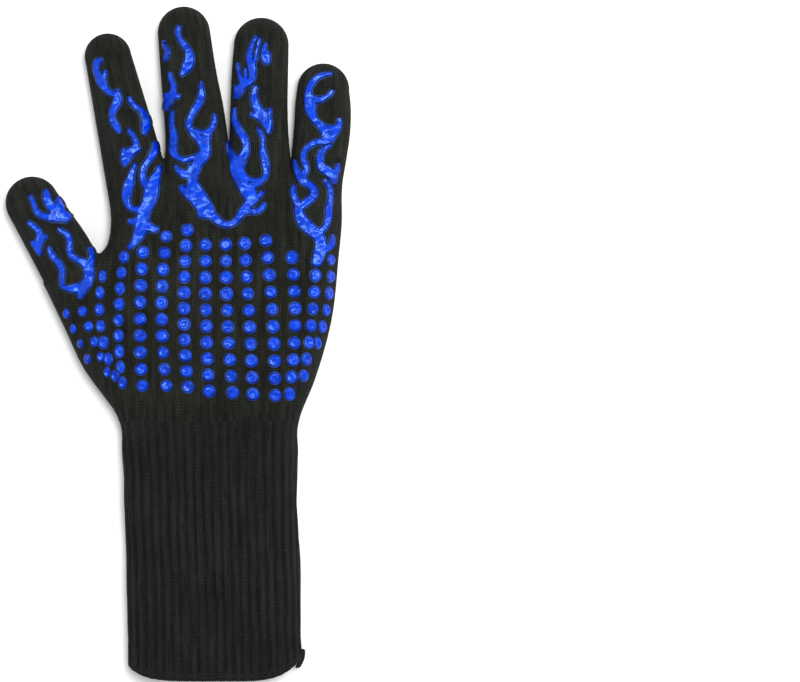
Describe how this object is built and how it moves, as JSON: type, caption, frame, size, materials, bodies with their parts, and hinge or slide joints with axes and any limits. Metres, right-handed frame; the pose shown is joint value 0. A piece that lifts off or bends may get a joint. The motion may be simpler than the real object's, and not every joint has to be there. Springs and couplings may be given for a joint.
{
  "type": "heat resistant glove",
  "caption": "Long-cuffed knitted heat resistant glove for the left hand, lined, with raised silicone grip dots and flame shapes on the palm side.",
  "frame": {"origin": "on the flat that the back of the hand rests on, in the palm near the middle of the whole glove", "axes": "+X towards the little finger, +Y towards the fingertips, +Z out of the palm"},
  "size_m": [0.1809, 0.3523, 0.0229],
  "materials": {
    "knit_shell": "matte black fine-wale knit",
    "rib_cuff": "matte black rib knit",
    "cotton_liner": "soft natural cotton knit",
    "silicone_print": "satin blue silicone",
    "hem_thread": "black overlock thread"
  },
  "bodies": {
    "cuff": {"cuff_shell": "rib_cuff", "cuff_liner": "cotton_liner", "hem_overlock": "hem_thread", "hem_tail": "hem_thread"},
    "hand": {"hand_shell": "knit_shell", "hand_liner": "cotton_liner", "palm_dots": "silicone_print", "palm_flames": "silicone_print"},
    "thumb_base": {"thumb_base_shell": "knit_shell", "thumb_base_liner": "cotton_liner", "thumb_base_dots": "silicone_print", "thumb_base_flames": "silicone_print"},
    "thumb_tip": {"thumb_tip_shell": "knit_shell", "thumb_tip_liner": "cotton_liner", "thumb_tip_flames": "silicone_print"},
    "index_base": {"index_base_shell": "knit_shell", "index_base_liner": "cotton_liner", "index_base_flames": "silicone_print"},
    "index_middle": {"index_middle_shell": "knit_shell", "index_middle_liner": "cotton_liner", "index_middle_flames": "silicone_print"},
    "index_tip": {"index_tip_shell": "knit_shell", "index_tip_liner": "cotton_liner", "index_tip_flames": "silicone_print"},
    "middle_base": {"middle_base_shell": "knit_shell", "middle_base_liner": "cotton_liner", "middle_base_flames": "silicone_print"},
    "middle_middle": {"middle_middle_shell": "knit_shell", "middle_middle_liner": "cotton_liner", "middle_middle_flames": "silicone_print"},
    "middle_tip": {"middle_tip_shell": "knit_shell", "middle_tip_liner": "cotton_liner", "middle_tip_flames": "silicone_print"},
    "ring_base": {"ring_base_shell": "knit_shell", "ring_base_liner": "cotton_liner", "ring_base_flames": "silicone_print"},
    "ring_middle": {"ring_middle_shell": "knit_shell", "ring_middle_liner": "cotton_liner", "ring_middle_flames": "silicone_print"},
    "ring_tip": {"ring_tip_shell": "knit_shell", "ring_tip_liner": "cotton_liner", "ring_tip_flames": "silicone_print"},
    "little_base": {"little_base_shell": "knit_shell", "little_base_liner": "cotton_liner", "little_base_flames": "silicone_print"},
    "little_middle": {"little_middle_shell": "knit_shell", "little_middle_liner": "cotton_liner", "little_middle_flames": "silicone_print"},
    "little_tip": {"little_tip_shell": "knit_shell", "little_tip_liner": "cotton_liner", "little_tip_flames": "silicone_print"}
  },
  "joints": [
    {"name": "wrist_bend", "type": "hinge", "parent": "cuff", "child": "hand", "pos_m": [0.0177, -0.041, 0.0126], "axis": [1, 0, 0], "range_deg": [0, 55]},
    {"name": "thumb_swing", "type": "hinge", "parent": "hand", "child": "thumb_base", "pos_m": [-0.0385, 0.0429, 0.0144], "axis": [-0.13, 0.9915, 0], "range_deg": [0, 50]},
    {"name": "thumb_tip_bend", "type": "hinge", "parent": "thumb_base", "child": "thumb_tip", "pos_m": [-0.06497, 0.05878, 0.0117], "axis": [0.8771, 0.4802, 0], "range_deg": [0, 45]},
    {"name": "index_knuckle", "type": "hinge", "parent": "hand", "child": "index_base", "pos_m": [-0.02318, 0.09849, 0.0108], "axis": [0.9751, 0.2215, 0], "range_deg": [0, 60]},
    {"name": "index_middle_bend", "type": "hinge", "parent": "index_base", "child": "index_middle", "pos_m": [-0.02817, 0.12043, 0.0108], "axis": [0.9751, 0.2215, 0], "range_deg": [0, 75]},
    {"name": "index_tip_bend", "type": "hinge", "parent": "index_middle", "child": "index_tip", "pos_m": [-0.03282, 0.14091, 0.0108], "axis": [0.9751, 0.2215, 0], "range_deg": [0, 37.5]},
    {"name": "middle_knuckle", "type": "hinge", "parent": "hand", "child": "middle_base", "pos_m": [0.01027, 0.10955, 0.01104], "axis": [0.994, 0.1097, 0], "range_deg": [0, 60]},
    {"name": "middle_middle_bend", "type": "hinge", "parent": "middle_base", "child": "middle_middle", "pos_m": [0.00774, 0.13241, 0.01104], "axis": [0.994, 0.1097, 0], "range_deg": [0, 75]},
    {"name": "middle_tip_bend", "type": "hinge", "parent": "middle_middle", "child": "middle_tip", "pos_m": [0.00538, 0.15378, 0.01104], "axis": [0.994, 0.1097, 0], "range_deg": [0, 37.5]},
    {"name": "ring_knuckle", "type": "hinge", "parent": "hand", "child": "ring_base", "pos_m": [0.04314, 0.1112, 0.0108], "axis": [0.9996, -0.0279, 0], "range_deg": [0, 60]},
    {"name": "ring_middle_bend", "type": "hinge", "parent": "ring_base", "child": "ring_middle", "pos_m": [0.04372, 0.13219, 0.0108], "axis": [0.9996, -0.0279, 0], "range_deg": [0, 75]},
    {"name": "ring_tip_bend", "type": "hinge", "parent": "ring_middle", "child": "ring_tip", "pos_m": [0.04424, 0.15068, 0.0108], "axis": [0.9996, -0.0279, 0], "range_deg": [0, 37.5]},
    {"name": "little_knuckle", "type": "hinge", "parent": "hand", "child": "little_base", "pos_m": [0.07528, 0.10239, 0.00984], "axis": [0.9987, -0.0506, 0], "range_deg": [0, 60]},
    {"name": "little_middle_bend", "type": "hinge", "parent": "little_base", "child": "little_middle", "pos_m": [0.07606, 0.11787, 0.00984], "axis": [0.9987, -0.0506, 0], "range_deg": [0, 75]},
    {"name": "little_tip_bend", "type": "hinge", "parent": "little_middle", "child": "little_tip", "pos_m": [0.07677, 0.13185, 0.00984], "axis": [0.9987, -0.0506, 0], "range_deg": [0, 37.5]}
  ],
  "couplings": [
    {"joint": "index_tip_bend", "follows": "index_middle_bend", "ratio": 0.5},
    {"joint": "middle_tip_bend", "follows": "middle_middle_bend", "ratio": 0.5},
    {"joint": "ring_tip_bend", "follows": "ring_middle_bend", "ratio": 0.5},
    {"joint": "little_tip_bend", "follows": "little_middle_bend", "ratio": 0.5}
  ]
}
